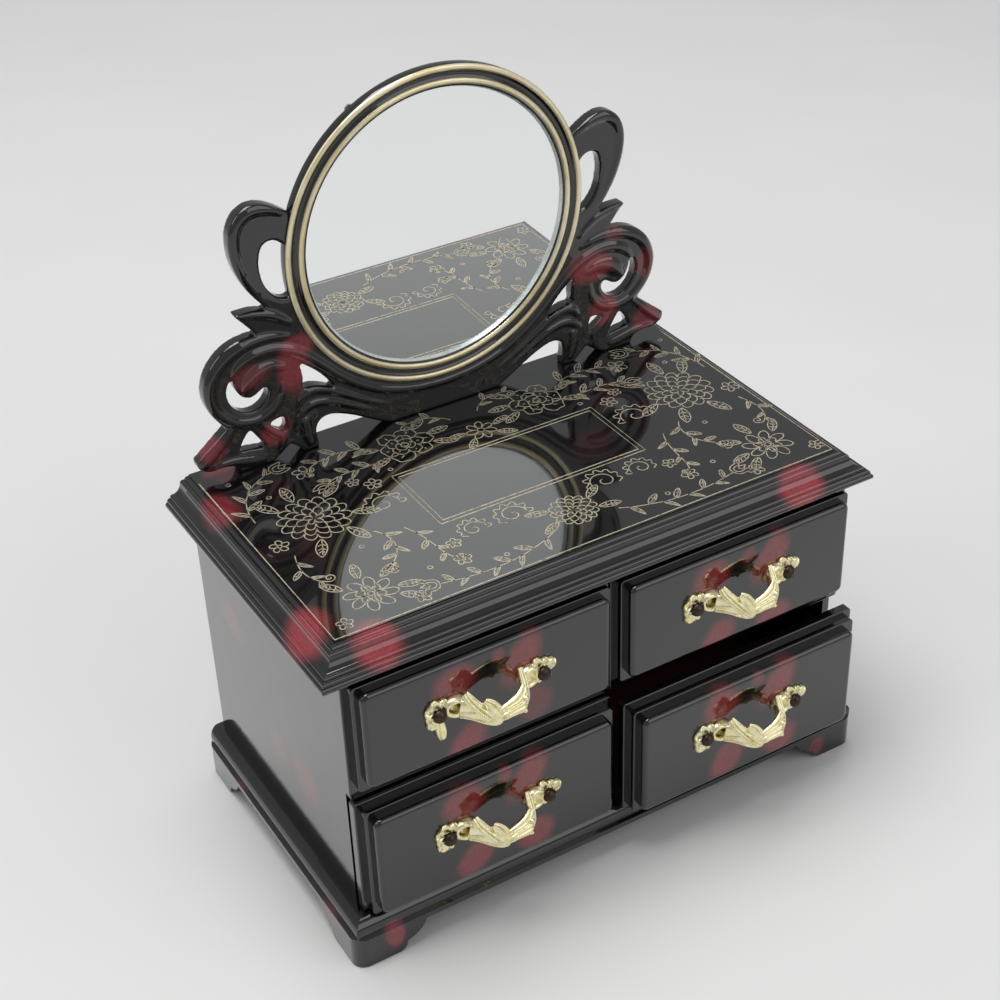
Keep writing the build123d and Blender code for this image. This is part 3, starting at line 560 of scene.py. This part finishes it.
def garland(art, place, side):
    """Flowers, leaves and sprays of one half of the lid."""
    big, front, back = (80, 13), (84, -38), (29, 38)
    chrysanthemum(art, place @ at(*big), 13.5)
    ring_of_leaves(art, place, big, 13.5, (48, 82, 132, 196, 238, 286), 11, 3.0)
    peony(art, place @ at(*back), 11, 40)
    ring_of_leaves(art, place, back, 10.5, (12, -28, 168, 200, 132), 9.5, 2.6)
    for size, petals in ((9.5, 8), (5.2, 6)):
        daisy(art, place @ at(*front), size, petals)
    ring_of_leaves(art, place, front, 9.6, (42, 92, 138, 186, 212), 9, 2.6)
    acanthus(art, place @ at(49, 6, 12), 6.0)
    for x, size in ((14, 5.6), (31, 4.8)):
        acanthus(art, place @ at(x, -25, 8), size)
    spray(art, place, ((39, 40), (48, 50), (60, 48), (70, 42)), 7, 8.5, "daisy")
    spray(art, place, ((40, 34), (50, 30), (58, 36), (66, 30)), 6, 7.5)
    spray(art, place, ((99, 22), (99, 36), (92, 46), (80, 49)), 7, 8.0)
    spray(art, place, ((66, -6), (60, -14), (64, -24), (72, -28)), 5, 7.0, "curl")
    spray(art, place, ((96, -4), (99, -12), (99, -20), (93, -24)), 4, 6.5, "curl")
    spray(art, place, ((14, -42), (30, -50), (46, -50), (62, -46)), 8, 7.5)
    spray(art, place, ((56, -10), (50, -22), (54, -32), (48, -38)), 5, 6.5, "daisy")
    spray(art, place, ((6, 44), (10, 51), (18, 52), (24, 50)), 4, 6.0, "curl")
    for x, y, size in ((98, 4, 3.6), (52, 21, 3.4), (58, 26, 2.6), (99, -48, 3.0), (70, -49, 3.2),
                       (46, -28, 2.8)):
        daisy(art, place @ at(x, y), size)
    for x, y in ((74, -12), (88, 34), (60, -36), (42, 26), (34, -44), (97, 50)):
        art.line(arc_points(0.9, 0, 360, 8, (x, y)), place)


# ---------------------------------------------------------------- cast pulls
# Parts of a cast pull, in millimetres from the middle of its foot: a section of a strand is
# (X, distance from the front, rise, half width, half thickness), and its turn is about its run.
STRANDS = (
    # web that joins the blades from behind
    (((-13.0, 3.0, 1.0, 2.6, 1.0), (-9.6, 6.2, 0.3, 3.5, 0.9), (-6.4, 8.8, -1.2, 3.7, 0.9),
      (-3.4, 10.0, -2.8, 2.8, 0.8), (-0.6, 10.4, -2.4, 2.3, 0.8), (3.0, 10.3, -1.0, 2.4, 0.8),
      (7.2, 9.5, -0.2, 2.8, 0.8)), 0, 0),
    # tall blade from the left eye over to the lowest point
    (((-11.8, 4.4, 7.2, 1.3, 0.7), (-10.9, 5.8, 5.2, 1.9, 1.0), (-9.0, 8.0, 2.6, 2.1, 1.2),
      (-6.4, 10.0, -0.4, 2.2, 1.3), (-4.0, 11.0, -3.2, 1.9, 1.0), (-2.3, 11.2, -5.3, 0.8, 0.6)), 12, 3),
    # lower blade beside it
    (((-13.2, 2.9, -1.9, 1.5, 1.4), (-9.8, 6.2, -1.8, 1.9, 1.4), (-6.8, 9.0, -3.0, 1.8, 1.3),
      (-4.2, 10.4, -4.4, 1.4, 1.0), (-2.4, 10.9, -5.4, 0.7, 0.6)), 0, 1),
    # broad leaf that stands behind the blades
    (((-6.8, 9.0, 5.0, 1.1, 0.6), (-5.4, 9.9, 3.4, 2.1, 0.9), (-3.8, 10.7, 0.9, 2.5, 1.0),
      (-2.8, 11.2, -2.0, 2.0, 1.0), (-2.2, 11.1, -4.8, 0.9, 0.8)), -10, 2),
    # ribbon to the right, with a flared end
    (((-3.2, 10.8, -4.0, 1.2, 0.9), (-1.0, 11.3, -2.6, 2.0, 1.0), (1.8, 11.3, -2.0, 2.3, 1.0),
      (4.8, 11.1, -1.9, 2.6, 1.0), (7.2, 10.7, -1.9, 2.9, 1.0), (8.4, 10.1, -1.9, 2.2, 0.7)), -8, 3),
    # its upper edge, swept up to the fin
    (((-2.0, 10.5, -0.4, 1.2, 1.1), (1.2, 10.5, 0.4, 1.5, 1.2), (4.4, 10.2, 1.3, 1.7, 1.2),
      (7.2, 9.4, 2.5, 1.8, 1.1), (9.2, 8.0, 3.9, 1.2, 0.8)), 0, 1),
    # steep fall to the right eye
    (((6.8, 9.8, -1.0, 2.6, 0.9), (8.8, 8.4, 0.2, 2.8, 1.0), (10.1, 6.0, 0.6, 2.5, 1.1),
      (11.0, 3.8, 0.5, 2.0, 1.2), (12.0, 2.0, 0.4, 1.5, 1.2)), 0, 2),
    # upright fin
    (((10.3, 3.8, 8.2, 0.9, 0.6), (10.1, 5.2, 6.0, 1.3, 0.9), (9.7, 7.6, 3.0, 1.4, 1.0),
      (9.1, 9.4, 0.0, 1.4, 0.9), (8.3, 10.5, -2.4, 0.8, 0.6)), 0, 1),
)
# eyes: middle (X, rise), half axes, turn, height of the rim on the outer and on the inner side
EYES = (((-13.6, 0.2), (4.0, 3.0), -12, (2.6, 3.9)), ((15.3, 0.3), (3.4, 3.3), 8, (2.6, 3.4)))
EYE_RIM = 1.4
# petals round a pin: turn, reach and half width
PETALS_LEFT = ((58, 6.0, 2.0), (104, 5.7, 2.4), (152, 5.2, 2.6), (200, 4.9, 2.2), (240, 6.8, 2.3),
               (276, 6.4, 1.8))
PETALS_RIGHT = ((112, 6.6, 2.3), (70, 5.6, 2.1), (32, 6.6, 2.4), (-46, 5.0, 1.6), (-120, 4.8, 1.6))
LONG_PETAL = (276, 12.6, 2.1)
KNOBS = ((8.2, 10.9, 0.5, 1.0), (7.6, 11.2, -4.4, 0.9))
PIN_X = 20.7
FOOT = 0.25          # how far the middle of a part on the front stands from it
PULL_VOXEL = 0.21


def smooth_path(knots, steps, closed=False):
    """Points of any number of values on a Catmull-Rom curve through the knots."""
    count = len(knots)
    path = []
    for i in range(count if closed else count - 1):
        if closed:
            four = [knots[(i + k) % count] for k in (-1, 0, 1, 2)]
        else:
            four = [knots[min(max(i + k, 0), count - 1)] for k in (-1, 0, 1, 2)]
        for j in range(steps):
            t = j / steps
            weights = (-t + 2 * t * t - t ** 3, 2 - 5 * t * t + 3 * t ** 3,
                       t + 4 * t * t - 3 * t ** 3, t ** 3 - t * t)
            path.append([sum(w * k[n] for w, k in zip(weights, four)) / 2
                         for n in range(len(knots[0]))])
    if not closed:
        path.append(list(knots[-1]))
    return path


def strand(mesh, knots, turn=0.0, flutes=0, closed=False, sides=28, steps=8):
    """A swept bar of oval section; flutes are shallow grooves along its outer face."""
    path = smooth_path(knots, steps, closed)
    spots = [Vector((p[0], -p[1], p[2])) for p in path]
    count, rings = len(path), []
    for i, (x, out, rise, wide, thick) in enumerate(path):
        before = spots[i - 1] if i or closed else spots[i]
        after = spots[(i + 1) % count] if i + 1 < count or closed else spots[i]
        run = (after - before).normalized()
        across = run.cross(Vector((0, -1, 0))).normalized()
        across = Matrix.Rotation(math.radians(turn), 3, run) @ across
        outward = across.cross(run)
        ring = []
        for k in range(sides):
            angle = 2 * math.pi * k / sides
            side, high = math.cos(angle), math.sin(angle)
            groove = 0.5 * math.cos(2 * math.pi * flutes * (side + 1) / 2) if flutes else 0.0
            lift = thick * high * (1 + (groove if high > 0 else 0.0))
            ring.append(mesh.verts.new((spots[i] + across * (wide * side) + outward * lift) * MM))
        rings.append(ring)
    for a, b in zip(rings, rings[1:] + rings[:1] if closed else rings[1:]):
        for k in range(sides):
            mesh.faces.new((a[k], a[(k + 1) % sides], b[(k + 1) % sides], b[k]))
    if not closed:
        mesh.faces.new(rings[0][::-1])
        mesh.faces.new(rings[-1])


def pull_eye(mesh, middle, half, turn, heights):
    """A cupped eye: an oval rim on the front's face, with a floor inside it."""
    (x, rise), (a, b) = middle, half
    inner = 1 if x < 0 else -1
    knots = []
    for i in range(12):
        t = 2 * math.pi * i / 12
        u, v = a * math.cos(t), b * math.sin(t)
        c, s = math.cos(math.radians(turn)), math.sin(math.radians(turn))
        lean = (1 + inner * math.cos(t)) / 2
        high = heights[0] + (heights[1] - heights[0]) * lean
        knots.append((x + u * c - v * s, FOOT, rise + u * s + v * c, EYE_RIM, high - FOOT))
    strand(mesh, knots, closed=True)
    strand(mesh, [(x - a * c, 0.6, rise - a * s, b * 0.5, 0.55), (x, 0.6, rise, b, 0.6),
                  (x + a * c, 0.6, rise + a * s, b * 0.5, 0.55)])


def petal(mesh, x, turn, reach, half):
    """A plump petal on the front, from the pin's boss outwards to a round tip."""
    c, s = math.cos(math.radians(turn)), math.sin(math.radians(turn))
    knots = [(x + c * r * reach, FOOT, s * r * reach, half * w, high - FOOT)
             for r, high, w in ((0.20, 1.9, 0.80), (0.42, 2.1, 0.90), (0.62, 2.2, 1.0),
                                (0.82, 2.0, 0.86), (0.95, 1.5, 0.55), (1.0, 0.9, 0.30))]
    strand(mesh, knots, flutes=1)


def knob(mesh, x, out, rise, size):
    strand(mesh, [(x + size * k, out, rise, size * w, size * w)
                  for k, w in ((-1, 0.1), (-0.8, 0.6), (0, 1.0), (0.8, 0.6), (1, 0.1))], sides=14)


def pull_mesh(long_petal):
    """One cast pull, its parts melted into one skin."""
    mesh = bmesh.new()
    for knots, turn, flutes in STRANDS:
        strand(mesh, knots, turn, flutes)
    for eye in EYES:
        pull_eye(mesh, *eye)
    for x, petals in ((-PIN_X, PETALS_LEFT), (PIN_X, PETALS_RIGHT)):
        for turn, reach, half in petals:
            if long_petal and turn == LONG_PETAL[0]:
                reach, half = LONG_PETAL[1:]
            petal(mesh, x, turn, reach, half)
        strand(mesh, [(x, out, 0, w, w) for out, w in ((0.02, 2.3), (1.2, 2.3), (2.5, 2.2))])
    for numbers in KNOBS:
        knob(mesh, *numbers)
    return mesh


def flatten_back(data):
    """Press what lies behind the front's face flat on it."""
    mesh = bmesh.new()
    mesh.from_mesh(data)
    for vertex in mesh.verts:
        vertex.co.y = min(vertex.co.y, 0.0)
    bmesh.ops.dissolve_degenerate(mesh, dist=0.02 * MM, edges=mesh.edges)
    bmesh.ops.triangulate(mesh, faces=mesh.faces)
    mesh.to_mesh(data)
    mesh.free()
    data.shade_smooth()


def make_pulls():
    gilt = gilt_metal()
    for name in DRAWER_NAMES:
        low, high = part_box(f"pull_{name}")
        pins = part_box(f"pull_pins_{name}")
        middle = (pins[0] + pins[1]) / 2
        piece = new_piece(f"cast_pull_{name}", pull_mesh(name == "upper_left"), gilt)
        melt(piece, PULL_VOXEL, 3)
        flatten_back(piece.data)
        piece.data.transform(Matrix.Translation((middle.x, high.y, middle.z)))
        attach(piece, f"drawer_{name}")
        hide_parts(f"pull_{name}")


# ---------------------------------------------------------------- scroll stand and rim
# Raised strands on the front of the stand's left half: sections as (X, 0, height over the lid,
# half width, half thickness). They are mirrored for the right half.
STAND_STRANDS = (
    # horn
    ((-61.5, 0, 99.4, 0.7, 0.4), (-66.5, 0, 102.1, 1.4, 0.9), (-73.0, 0, 102.9, 1.7, 1.0),
     (-78.0, 0, 100.0, 1.7, 1.0), (-80.2, 0, 94.5, 1.6, 0.9), (-80.0, 0, 87.5, 1.4, 0.8),
     (-77.6, 0, 79.0, 1.1, 0.6), (-73.5, 0, 71.4, 0.5, 0.3)),
    # leaf
    ((-82.4, 0, 64.4, 0.4, 0.4), (-76.0, 0, 63.6, 1.1, 0.9), (-69.0, 0, 61.2, 1.3, 1.0),
     (-62.0, 0, 56.0, 0.8, 0.5)),
    # outer band of the volute
    ((-63.0, 0, 51.0, 0.7, 0.4), (-71.0, 0, 52.8, 1.5, 0.9), (-79.5, 0, 52.6, 1.8, 1.2),
     (-87.0, 0, 50.0, 1.9, 1.3), (-92.6, 0, 45.2, 1.9, 1.3), (-95.6, 0, 38.2, 1.9, 1.3),
     (-94.8, 0, 31.2, 1.9, 1.2), (-91.4, 0, 25.6, 1.8, 1.1), (-86.0, 0, 21.4, 1.7, 1.0),
     (-79.0, 0, 20.2, 1.6, 0.9), (-72.2, 0, 22.6, 1.5, 0.9), (-68.2, 0, 27.6, 1.2, 0.7),
     (-67.4, 0, 33.0, 0.5, 0.3)),
    # ribbon from the curl along the rim to the middle
    ((-87.4, 0, 39.6, 0.6, 0.3), (-84.4, 0, 43.8, 1.5, 0.9), (-79.4, 0, 46.8, 1.9, 1.2),
     (-72.8, 0, 47.8, 2.0, 1.3), (-66.0, 0, 46.4, 2.0, 1.3), (-59.3, 0, 42.6, 1.9, 1.2),
     (-52.4, 0, 36.4, 1.7, 1.1), (-44.5, 0, 28.4, 1.5, 1.0), (-36.0, 0, 21.6, 1.4, 0.9),
     (-26.0, 0, 16.0, 1.3, 0.9), (-13.0, 0, 12.2, 1.2, 0.8), (0.0, 0, 11.0, 1.2, 0.8)),
    # curl
    ((-66.0, 0, 38.8, 1.4, 0.5), (-71.5, 0, 40.6, 2.4, 1.0), (-76.8, 0, 39.4, 3.0, 1.3),
     (-80.6, 0, 36.2, 2.6, 1.3), (-82.8, 0, 33.2, 1.1, 0.6)),
    # shoulder of the inner foot: two lines along the arch
    ((-62.2, 0, 18.6, 0.7, 0.4), (-60.2, 0, 23.6, 1.3, 0.9), (-55.8, 0, 25.4, 1.4, 1.0),
     (-50.0, 0, 23.8, 1.3, 0.9), (-42.0, 0, 19.0, 1.1, 0.7), (-33.0, 0, 13.2, 0.8, 0.5),
     (-24.0, 0, 8.6, 0.4, 0.3)),
    ((-64.2, 0, 10.6, 0.8, 0.5), (-61.6, 0, 16.6, 1.3, 0.8), (-56.2, 0, 19.6, 1.4, 0.9),
     (-49.0, 0, 18.4, 1.3, 0.8), (-41.0, 0, 14.2, 1.1, 0.6), (-31.0, 0, 8.0, 0.6, 0.3)),
    ((-60.0, 0, 14.6, 2.4, 0.8), (-59.4, 0, 8.6, 2.2, 0.9), (-57.8, 0, 2.6, 1.6, 0.6)),
    # legs
    ((-87.6, 0, 20.8, 1.0, 0.6), (-94.0, 0, 14.6, 1.7, 1.1), (-99.8, 0, 9.2, 1.5, 1.0),
     (-102.6, 0, 7.0, 0.5, 0.4)),
    ((-98.0, 0, 5.8, 0.9, 0.5), (-90.6, 0, 5.8, 1.5, 0.9), (-84.0, 0, 4.2, 1.9, 0.9),
     (-77.0, 0, 3.2, 1.4, 0.7)),
    ((-78.0, 0, 19.2, 0.9, 0.6), (-73.4, 0, 13.8, 1.7, 1.0), (-69.4, 0, 9.4, 1.5, 0.8),
     (-71.0, 0, 4.0, 0.9, 0.5)),
)
STAND_VOXEL = 0.55
GLASS_EDGE_PROFILE = ((54.15, 1.2), (53.5, 2.46), (54.15, 2.46))
RIM_PROFILE = ((54.2, 2.5), (54.2, 1.2), (54.4, 0.95), (54.9, 0.9), (57.3, 0.95), (57.7, 1.4),
               (58.6, 1.7), (59.5, 1.4), (59.95, 0.95), (62.0, 0.9), (62.3, 1.3), (61.9, 5.5),
               (60.2, 5.5), (60.2, 6.6), (57.5, 6.6), (57.5, 2.5))


def leaned(mesh):
    """Turn upright geometry about the back edge of the stand's feet."""
    foot = Vector((0, STAND_BACK, LID_TOP)) * MM
    turn = Matrix.Rotation(math.radians(STAND_LEAN), 3, "X")
    bmesh.ops.rotate(mesh, verts=mesh.verts, cent=foot, matrix=turn)


def new_piece(name, mesh, material, smooth=True):
    data = bpy.data.meshes.new(name)
    mesh.to_mesh(data)
    mesh.free()
    data.materials.append(material)
    if smooth:
        data.shade_smooth()
    piece = bpy.data.objects.new(name, data)
    bpy.context.scene.collection.objects.link(piece)
    return piece


def melt(piece, voxel, smoothing, factor=0.5):
    """Join a piece's overlapping parts in one smooth skin."""
    remesh = piece.modifiers.new("melt", "REMESH")
    remesh.mode = "VOXEL"
    remesh.voxel_size = voxel * MM
    soften = piece.modifiers.new("soften", "SMOOTH")
    soften.factor = factor
    soften.iterations = smoothing
    depsgraph = bpy.context.evaluated_depsgraph_get()
    data = bpy.data.meshes.new_from_object(piece.evaluated_get(depsgraph))
    piece.modifiers.clear()
    data.materials.clear()
    data.materials.append(piece.data.materials[0])
    piece.data = data
    data.shade_smooth()


def stand_plate():
    """The pierced plate: the flat back face of the stand's node, thickened to the front."""
    mesh = bmesh.new()
    mesh.from_mesh(NODES["mirror_frame"].data)
    foot = Vector((0, STAND_BACK, LID_TOP)) * MM
    turn = Matrix.Rotation(math.radians(-STAND_LEAN), 3, "X")
    bmesh.ops.rotate(mesh, verts=mesh.verts, cent=foot, matrix=turn)
    back = STAND_BACK * MM
    others = [f for f in mesh.faces if max(abs(v.co.y - back) for v in f.verts) > 0.00002]
    bmesh.ops.delete(mesh, geom=others, context="FACES")
    bmesh.ops.remove_doubles(mesh, verts=mesh.verts, dist=0.00002)
    sheet = bmesh.ops.extrude_face_region(mesh, geom=mesh.faces[:], use_keep_orig=True)["geom"]
    moved = [v for v in sheet if isinstance(v, bmesh.types.BMVert)]
    bmesh.ops.translate(mesh, verts=moved, vec=(0, -STAND_T * MM, 0))
    bmesh.ops.recalc_face_normals(mesh, faces=mesh.faces)
    return mesh


def make_stand():
    mesh = stand_plate()
    relief = bmesh.new()
    for knots in STAND_STRANDS:
        for side in (1, -1):
            strand(relief, [(x * side, out, z, wide, thick) for x, out, z, wide, thick in knots])
    face = Vector((0, STAND_BACK - STAND_T, LID_TOP)) * MM
    bmesh.ops.translate(relief, verts=relief.verts, vec=face)
    bmesh.ops.recalc_face_normals(relief, faces=relief.faces)
    part = bpy.data.meshes.new("relief")
    relief.to_mesh(part)
    relief.free()
    mesh.from_mesh(part)
    bpy.data.meshes.remove(part)
    piece = new_piece("scroll_stand", mesh, lacquer("lacquer_stand", stand_patches()))
    melt(piece, STAND_VOXEL, 7)
    mesh = bmesh.new()
    mesh.from_mesh(piece.data)
    leaned(mesh)
    low = LID_TOP * MM
    for v in mesh.verts:
        v.co.z = max(v.co.z, low)
    mesh.to_mesh(piece.data)
    mesh.free()
    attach(piece, "case")
    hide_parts("mirror_frame")


def turned(profile, steps=240):
    """A closed profile of (radius, depth behind the rim's front) turned about the mirror's axis."""
    mesh = bmesh.new()
    rows = []
    for i in range(steps):
        angle = 2 * math.pi * i / steps
        rows.append([mesh.verts.new(Vector((r * math.cos(angle), RIM_FRONT + y,
                                            RIM_HEIGHT + r * math.sin(angle))) * MM)
                     for r, y in profile])
    count = len(profile)
    for a, b in zip(rows, rows[1:] + rows[:1]):
        for k in range(count):
            mesh.faces.new((a[k], a[(k + 1) % count], b[(k + 1) % count], b[k]))
    bmesh.ops.recalc_face_normals(mesh, faces=mesh.faces)
    leaned(mesh)
    return mesh


def make_rim():
    rim = new_piece("mirror_rim", turned(RIM_PROFILE), lacquer("lacquer_rim"))
    rim.data.set_sharp_from_angle(angle=math.radians(50))
    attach(rim, "case")
    edge = new_piece("glass_edge", turned(GLASS_EDGE_PROFILE), ground_glass(), smooth=False)
    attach(edge, "case")
    gilt = gilt_ring()
    for name, radius in zip(("rim_ring_inner", "rim_ring_outer"), RING_R):
        bead = arc_points(RING_HALF, 180, 360, 10, (radius, 1.0), 0.85)
        ring = new_piece(name, turned([*bead, (radius, 1.3)]), gilt)
        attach(ring, "case")


# ---------------------------------------------------------------- stage
def area_lamp(name, place, target, size, power, colour=(1, 1, 1)):
    data = bpy.data.lights.new(name, "AREA")
    data.shape = "RECTANGLE"
    data.size, data.size_y = size
    data.energy = power
    data.color = colour
    lamp = bpy.data.objects.new(name, data)
    lamp.location = place
    lamp.rotation_euler = (Vector(target) - Vector(place)).to_track_quat("-Z", "Y").to_euler()
    bpy.context.scene.collection.objects.link(lamp)


def floor_material():
    tree = Tree("floor_cloth")
    soft = tree.noise(3.5, 3.0, 0.5)
    tree.set(Base_Color=tree.mix(soft, (0.665, 0.665, 0.655), (0.695, 0.695, 0.685)), Roughness=0.85)
    tree.shader.inputs["Specular IOR Level"].default_value = 0.2
    tree.bump(soft, 0.012)
    return tree.material


def make_stage():
    mesh = bmesh.new()
    bmesh.ops.create_circle(mesh, cap_ends=True, segments=96, radius=3.5)
    data = bpy.data.meshes.new("floor")
    mesh.to_mesh(data)
    mesh.free()
    data.materials.append(floor_material())
    floor = bpy.data.objects.new("floor", data)
    floor.location.z = -0.0003
    bpy.context.scene.collection.objects.link(floor)
    world = bpy.data.worlds.new("studio")
    world.use_nodes = True
    back = world.node_tree.nodes["Background"]
    back.inputs["Color"].default_value = (0.96, 0.98, 1.0, 1)
    back.inputs["Strength"].default_value = 0.40
    bpy.context.scene.world = world
    area_lamp("overhead", (-0.25, 0.25, 1.9), (0, 0, 0), (1.3, 1.0), 24.5)
    area_lamp("front_right", (1.05, -1.75, 1.45), (0, 0, 0.1), (2.2, 1.8), 15)
    area_lamp("left", (-1.9, 0.3, 1.5), (0, 0, 0.1), (0.9, 1.2), 8)


# ---------------------------------------------------------------- the object
def dress_case():
    plain = lacquer("lacquer_plain")
    for node in ("back_panel", "shelf", "divider_lower", "divider_upper", "top_board"):
        dress(node, plain)
    dress("side_panel_left", lacquer("lacquer_side_left", side_patches(-106.5)))
    dress("side_panel_right", lacquer("lacquer_side_right", side_patches(106.5)))
    dress("base", lacquer("lacquer_base", base_patches()))
    dress("lid", lacquer("lacquer_lid", lid_patches()))
    dress("mirror_frame", plain)
    dress("mirror_glass", silvered_glass())
    dress("mirror_backing", satin("backing_card", (0.16, 0.13, 0.10), (0.26, 0.22, 0.17)))
    dress("mirror_back_cover", satin("cover_black", (0.010, 0.009, 0.009), (0.022, 0.020, 0.020)))
    metal = steel()
    for node in ("lid_screws", "stand_screws", "mirror_cover_screws"):
        dress(node, metal)


def dress_drawers():
    gilt, dark, metal, wood, lining = gilt_metal(), dark_metal(), steel(), tray_wood(), flock()
    for name in DRAWER_NAMES:
        dress(f"drawer_front_{name}", lacquer(f"lacquer_{name}", drawer_patches(name)))
        dress(f"drawer_tray_{name}", wood)
        dress(f"drawer_liner_{name}", lining)
        dress(f"pull_{name}", gilt)
        dress(f"pull_pins_{name}", dark)
        dress(f"pull_nuts_{name}", metal)


make_camera()
dress_case()
dress_drawers()
lid_ornament()
make_pulls()
make_stand()
make_rim()
make_stage()
bpy.context.scene.view_settings.view_transform = "Standard"
